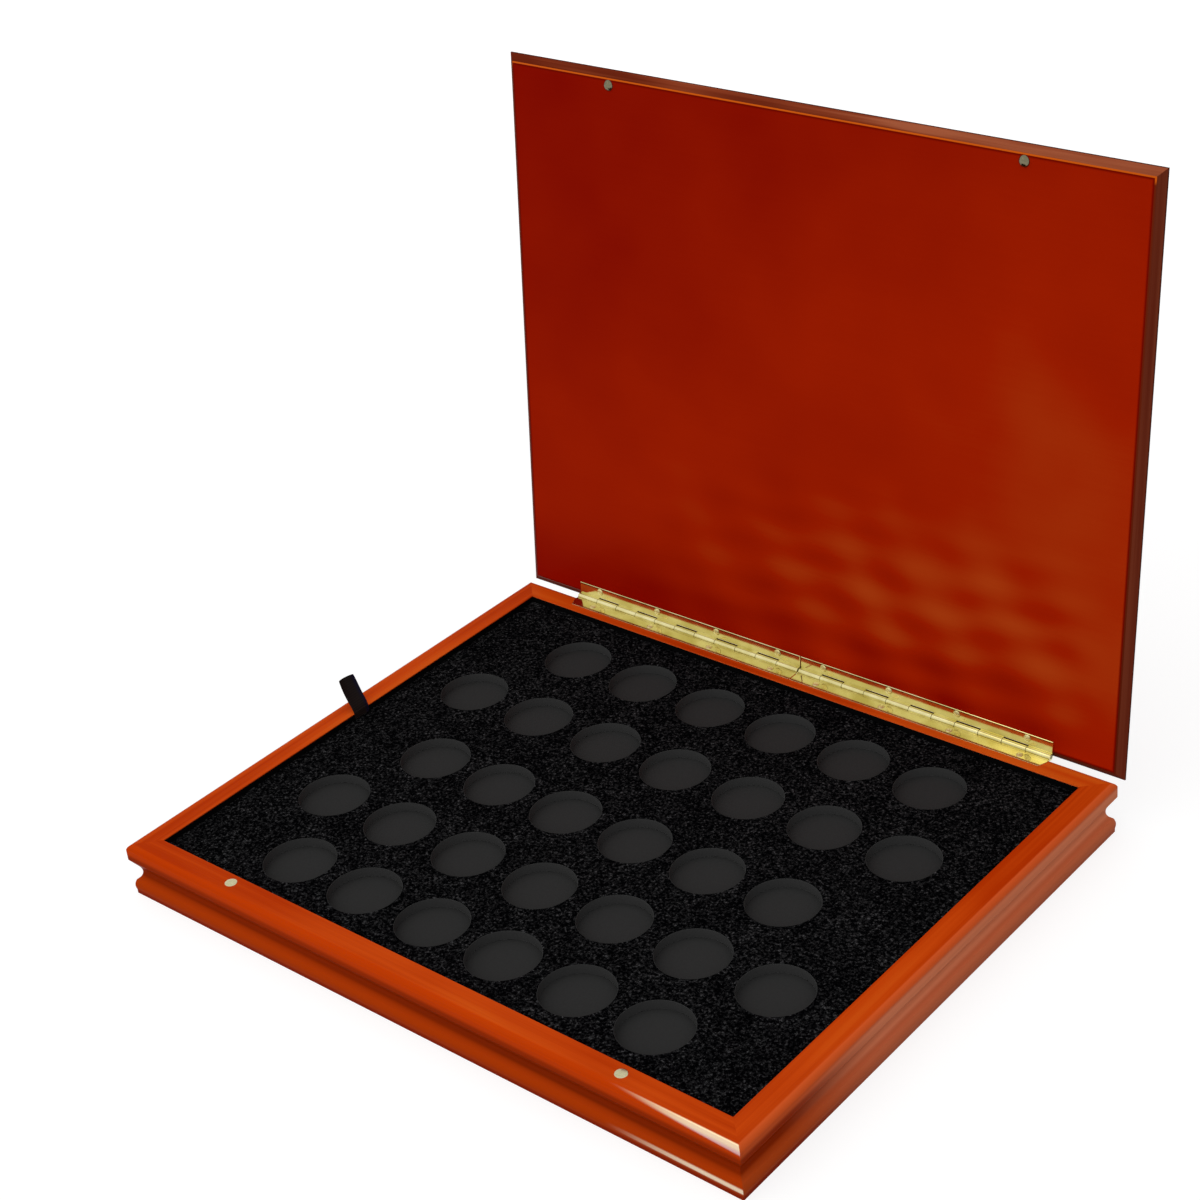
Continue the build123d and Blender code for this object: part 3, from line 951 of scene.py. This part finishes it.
def leafMesh(name, side, first, back, face, tabEnd, look):
    # flat of a leaf with its screw holes, every other knuckle, and the tabs that join them
    low, high = lengths[side]
    upper = 1 if first == 0 else 0
    near = hingeAxis.y - (look["barrel"] + look["relief"]) * mm
    far = hingeAxis.y - look["reach"][upper] * mm
    corners = [Vector((low, far)), Vector((high, far)), Vector((high, near)), Vector((low, near))]
    if not upper:
        along, across = look["clip"][0] * mm, look["clip"][1] * mm
        if side == "left":
            corners[0:1] = [Vector((low, far + across)), Vector((low + along, far))]
        else:
            corners[1:2] = [Vector((high - along, far)), Vector((high, far + across))]
    line = hingeAxis.y - look["screwLine"] * mm
    holes = [(x, line, look["screwHole"] * mm) for x in screwPlaces(low, high, look)]
    plate = holedPlate(name, corners, holes, back, face, look["edge"][upper] * mm,
                       look["edgeSteps"][upper], look["screwAround"])
    bm = bmesh.new()
    bm.from_mesh(plate)
    bpy.data.meshes.remove(plate)
    pitch = (high - low) / look["knuckles"]
    half = (pitch / mm - look["gap"]) / 2
    ring = rounded([(look["bore"], -half, 0), (look["barrel"], -half, look["knuckleRound"]),
                    (look["barrel"], half, look["knuckleRound"]), (look["bore"], half, 0)])
    for index in range(first, look["knuckles"], 2):
        middle = low + (index + 0.5) * pitch
        turned(bm, ring, Matrix.Translation((middle, hingeAxis.y, hingeAxis.z))
               @ Matrix.Rotation(pi / 2, 4, "Y"), 48)
        softBox(bm, Vector((middle - half * mm, near - look["tabOverlap"] * mm, min(back, face))),
                Vector((middle + half * mm, hingeAxis.y - tabEnd * mm, max(back, face))),
                look["tabEdge"] * mm)
    return finished(bm, name)


def screwHead(bm, place, look):
    # domed head with a cross recess
    radius, dome = look["radius"] * mm, look["dome"] * mm
    swell = (radius ** 2 + dome ** 2) / (2 * dome)
    rings = []
    for step in range(look["rings"] + 1):
        reach = radius * step / look["rings"]
        ring = []
        for turn in range(1 if step == 0 else look["around"]):
            x = reach * cos(2 * pi * turn / look["around"])
            y = reach * sin(2 * pi * turn / look["around"])
            height = sqrt(swell ** 2 - reach ** 2) - (swell - dome)
            slot = min(abs(x), abs(y)) < look["slot"][0] / 2 * mm
            if slot and reach < look["slot"][1] * mm:
                height -= look["slot"][2] * mm
            ring.append(bm.verts.new(place @ Vector((x, y, height))))
        rings.append(ring)
    rings.append([bm.verts.new(place @ Vector((radius * cos(2 * pi * turn / look["around"]),
                                               radius * sin(2 * pi * turn / look["around"]),
                                               -look["neck"] * mm)))
                  for turn in range(look["around"])])
    for one, other in zip(rings, rings[1:]):
        for index in range(look["around"]):
            corners = [one[index - 1] if len(one) > 1 else one[0],
                       one[index] if len(one) > 1 else one[0], other[index], other[index - 1]]
            bm.faces.new(list(dict.fromkeys(corners)))
    bm.faces.new(rings[-1])


screw = {
    "radius": 1.7,
    "dome": 0.4,
    "neck": 0.7,
    "slot": (0.45, 1.0, 0.12),   # width, reach and depth of the cross
    "rings": 14,
    "around": 56,
}
leafFace = railTop + hinge["proud"] * mm
for side in ("left", "right"):
    lower = leafMesh(f"lower_leaf_{side}", side, 1, leafFace - hinge["thickness"] * mm, leafFace,
                     0.7 * hinge["barrel"], hinge)
    addPiece(f"lower_leaf_{side}", lower, brassFinish, "base",
             (f"hinge_{side}_base_leaf",), sharp=40)
    upper = leafMesh(f"upper_leaf_{side}", side, 0, lidFace, lidFace - hinge["thickness"] * mm,
                     0, hinge)
    addPiece(f"upper_leaf_{side}", upper, brassFinish, "lid",
             (f"hinge_{side}_lid_leaf",), openLid, sharp=40)


def screwRow(name, body, face, turn, replaced, place, look):
    bm = bmesh.new()
    for side in ("left", "right"):
        for index, x in enumerate(screwPlaces(*lengths[side], hinge)):
            spot = Vector((x, hingeAxis.y - hinge["screwLine"] * mm, face))
            spin = Matrix.Rotation(radians(37 * (index + 3 * len(side))), 4, "Z")
            screwHead(bm, Matrix.Translation(spot) @ Matrix.Rotation(turn, 4, "X") @ spin, look)
    addPiece(name, finished(bm, name), screwFinish, body, replaced, place, 40)


screwRow("lower_screws", "base", leafFace, 0, ("hinge_base_screws",), None, screw)
screwRow("upper_screws", "lid", lidFace - hinge["thickness"] * mm, pi, ("hinge_lid_screws",),
         openLid, screw)
print("hinge made")


catch = {
    "magnetRadius": 3.0,
    "magnetDepth": 2.0,
    "magnetProud": 0.12,
    "magnetEdge": 0.35,
    "studRadius": 2.75,
    "studHeight": 1.8,
    "studDepth": 3.0,
}


def catches(look):
    low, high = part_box("catch_magnets")
    line = (low.y + high.y) / 2
    across = [low.x + look["magnetRadius"] * mm, high.x - look["magnetRadius"] * mm]
    top = railTop / mm + look["magnetProud"]
    section = rounded([(0, top - look["magnetDepth"], 0),
                       (look["magnetRadius"], top - look["magnetDepth"], 0),
                       (look["magnetRadius"], top, look["magnetEdge"]), (0, top, 0)])
    bm = bmesh.new()
    for x in across:
        turned(bm, section, Matrix.Translation((x, line, 0)))
    addPiece("magnet_discs", finished(bm, "magnet_discs"), nickelFinish, "base",
             ("catch_magnets",), sharp=70)
    radius, height = look["studRadius"], look["studHeight"]
    swell = (radius ** 2 + height ** 2) / (2 * height)
    dome = [(radius * step / 12, sqrt(swell ** 2 - (radius * step / 12) ** 2) - swell + height, 0)
            for step in range(13)]
    section = rounded([*dome, (radius, -look["studDepth"], 0), (0, -look["studDepth"], 0)])
    bm = bmesh.new()
    for x in across:
        turned(bm, section, Matrix.Translation((x, line, lidFace)) @ Matrix.Rotation(pi, 4, "X"))
    addPiece("domed_studs", finished(bm, "domed_studs"), steelFinish, "lid",
             ("lid_studs",), openLid, 70)


catches(catch)


ribbon = {
    "width": 10.0,
    "thickness": 0.4,
    "slack": 0.1,
    "under": 28.0,               # glued under the tray
    "bend": 0.6,
    "fold": 0.5,                 # above the rail, where the free end starts
    # free end from the fold: out to the left, and up
    "rise": [(0.3, 0), (1.3, 2.2), (3.7, 5.6), (5.9, 9.2), (7.6, 12.6), (9.0, 15.9)],
    "twist": 17.0,               # degrees at the tip
    "cup": 115.0,                # degrees that the tip curls across
}


def ribbonMesh(name, path, look, twist=0, cup=0):
    # a flat strip along a path of (x, z) points in metres, twisted and curled toward its end
    half, thick = look["width"] / 2 * mm, look["thickness"] / 2 * mm
    bm = bmesh.new()
    grain = bm.verts.layers.float_vector.new("grain")
    rings = []
    travelled = 0
    across = 12
    for index, here in enumerate(path):
        before = path[max(index - 1, 0)]
        after = path[min(index + 1, len(path) - 1)]
        forward = (after - before).normalized()
        side = Vector((-forward.y, forward.x))
        travelled += (here - before).length
        share = (index / (len(path) - 1)) ** 2
        turn = radians(twist) * share
        curl = max(radians(cup) * share, 0.001) / (2 * half)
        ring = []
        for step in [*range(across + 1), *range(across, -1, -1)]:
            face = 1 if len(ring) <= across else -1
            reach = (step / across * 2 - 1) * half
            lift = thick * face * (0.35 if step in (0, across) else 1)
            lift -= (1 - cos(reach * curl)) / curl
            wide = sin(reach * curl) / curl
            lift, wide = lift * cos(turn) - wide * sin(turn), wide * cos(turn) + lift * sin(turn)
            vertex = bm.verts.new((here.x + side.x * lift, wide, here.y + side.y * lift))
            vertex[grain] = (reach, 0, travelled)
            ring.append(vertex)
        rings.append(ring)
    for one, other in zip(rings, rings[1:]):
        for index in range(len(one)):
            bm.faces.new((one[index - 1], one[index], other[index], other[index - 1]))
    bm.faces.new(rings[0])
    bm.faces.new(rings[-1])
    return finished(bm, name)


def smoothPath(points, steps):
    # a soft curve through points, in metres
    path = []
    for index in range(len(points) - 1):
        one, two = points[index], points[index + 1]
        before = points[max(index - 1, 0)]
        after = points[min(index + 2, len(points) - 1)]
        for step in range(steps):
            t = step / steps
            path.append(0.5 * (2 * one + (two - before) * t
                               + (2 * before - 5 * one + 4 * two - after) * t * t
                               + (3 * one - before - 3 * two + after) * t * t * t))
    return [*path, points[-1]]


def pathLength(path):
    return sum((other - one).length for one, other in zip(path, path[1:]))


def ribbonTab(look):
    edge = baseLow.x / mm + railWidth / mm + look["thickness"] / 2 + look["slack"]
    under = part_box("tray_backing")[0].z / mm - look["thickness"] / 2 - look["slack"]
    fold = railTop / mm + look["fold"]
    corners = [(edge + look["under"], under, 0), (edge, under, look["bend"]), (edge, fold, 0)]
    hidden = rounded(corners, 6)
    tail = ribbonMesh("ribbon_tail", hidden, look)
    tail = addPiece("ribbon_tail", tail, ribbonFinish, "base", ("ribbon_tab",))
    round(pathLength(hidden), 4)
    rail = [Vector((edge, fold)) * mm]
    rail += [Vector((edge - out, fold + up)) * mm for out, up in look["rise"]]
    free = smoothPath(rail, 5)
    end = ribbonMesh("ribbon_end", free, look, look["twist"], look["cup"])
    end = addPiece("ribbon_end", end, ribbonFinish, "base")
    round(pathLength(free), 4)
    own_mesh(end)
    print("ribbon is", round(1000 * (pathLength(hidden) + pathLength(free)), 1), "mm long")


ribbonTab(ribbon)


def refinish(finish, *names):
    for name in names:
        for slot in nodes[name].material_slots:
            slot.material = finish


refinish(woodFinish, "base_floor", "mitre_tongues", "tray_ledge_front", "tray_ledge_rear",
         "tray_ledge_left", "tray_ledge_right", "lid_core")
refinish(velourFinish, "underside_felt")
refinish(floorFinish, "tray_backing")
refinish(steelFinish, "hinge_left_pin", "hinge_right_pin")
print("case dressed")


studio = {
    "floorSize": 9.0,            # metres
    "floorColour": paint(150, 150, 150),
    "nearGlow": paint(227, 227, 227),
    "farGlow": paint(247, 247, 247),
    "around": 0.45,              # light of the sky all round
    "overhead": 0.69,            # more from above,
    "fromFront": 0.54,           # from the front
    "fromLeft": 0.08,            # and from the left
    "least": 0.04,
}


def shownRays(finish):
    # 1 for what the camera, a mirror or glass sees, 0 for the light that falls on things
    return (finish.add("ShaderNodeLightPath", {}, {}, "Is Camera Ray")
            + finish.add("ShaderNodeLightPath", {}, {}, "Is Glossy Ray")
            + finish.add("ShaderNodeLightPath", {}, {}, "Is Transmission Ray"))


def studioFloor(look):
    finish = Finish("paleFloor")
    away = finish.add("ShaderNodeVectorMath", {"operation": "LENGTH"}, {0: finish.space()}, "Value")
    glow = finish.mix(finish.spread(away, 0.3, 2.2), look["nearGlow"], look["farGlow"])
    finish.surface({
        "Base Color": look["floorColour"],
        "Roughness": 1,
        "Specular IOR Level": 0,
        "Emission Color": finish.mix(shownRays(finish), (0, 0, 0, 1), glow),
        "Emission Strength": 1,
    })
    bpy.ops.mesh.primitive_plane_add(size=look["floorSize"])
    floor = bpy.context.object
    floor.name = "studio_floor"
    floor.data.materials.append(finish.material)


def studioSky(look):
    # a soft light that leans, and plain white where it is seen
    world = bpy.data.worlds.new("studioSky")
    bpy.context.scene.world = world
    world.use_nodes = True
    finish = Finish("studioSky", world.node_tree)
    toward = finish.add("ShaderNodeTexCoord", {}, {}, "Generated")
    light = (look["around"] + finish.axis(toward, "Z") * look["overhead"]
             - finish.axis(toward, "Y") * look["fromFront"]
             - finish.axis(toward, "X") * look["fromLeft"])
    light = finish.add("ShaderNodeMath", {"operation": "MAXIMUM"}, {0: light, 1: look["least"]})
    shown = shownRays(finish)
    sky = finish.add("ShaderNodeBackground", {}, {"Color": (1, 1, 1, 1),
                                                  "Strength": light * (1 - shown) + shown})
    finish.add("ShaderNodeOutputWorld", {}, {"Surface": sky})


lamp = {
    "from": (-0.423, -0.415, 1.037),
    "to": (0.165, -0.145, 0.027),
    "tall": (0, 0.966, 0.259),
    "size": (0.13, 0.54),
    "watts": 0.2,
    "colour": (1, 0.88, 0.42),
}


def studioLamp(look):
    # a faint warm strip, for a little more light on the brass and the front corner
    light = bpy.data.lights.new("strip", "AREA")
    light.shape = "RECTANGLE"
    light.energy = look["watts"]
    light.color = look["colour"]
    light.size, light.size_y = look["size"]
    strip = bpy.data.objects.new("strip", light)
    back = (Vector(look["from"]) - Vector(look["to"])).normalized()
    across = Vector(look["tall"]).cross(back).normalized()
    turn = Matrix((across, back.cross(across), back)).transposed()
    strip.matrix_world = Matrix.Translation(look["from"]) @ turn.to_4x4()
    bpy.context.scene.collection.objects.link(strip)


camera = {
    "from": (0.63765, -0.67329, 0.68204),
    "turn": (60.0765, 4.7094, 38.8625),    # degrees
    "lens": 72.226,
    "shift": (-0.04957, -0.01496),
}


def photoCamera(look):
    data = bpy.data.cameras.new("photoCamera")
    data.sensor_width = 36
    data.lens = look["lens"]
    data.shift_x, data.shift_y = look["shift"]
    data.clip_start = 0.05
    data.clip_end = 50
    view = bpy.data.objects.new("photoCamera", data)
    view.location = look["from"]
    view.rotation_euler = [radians(angle) for angle in look["turn"]]
    bpy.context.scene.collection.objects.link(view)
    bpy.context.scene.camera = view


studioFloor(studio)
studioSky(studio)
studioLamp(lamp)
photoCamera(camera)
bpy.context.scene.view_settings.view_transform = "Standard"
print("studio set")
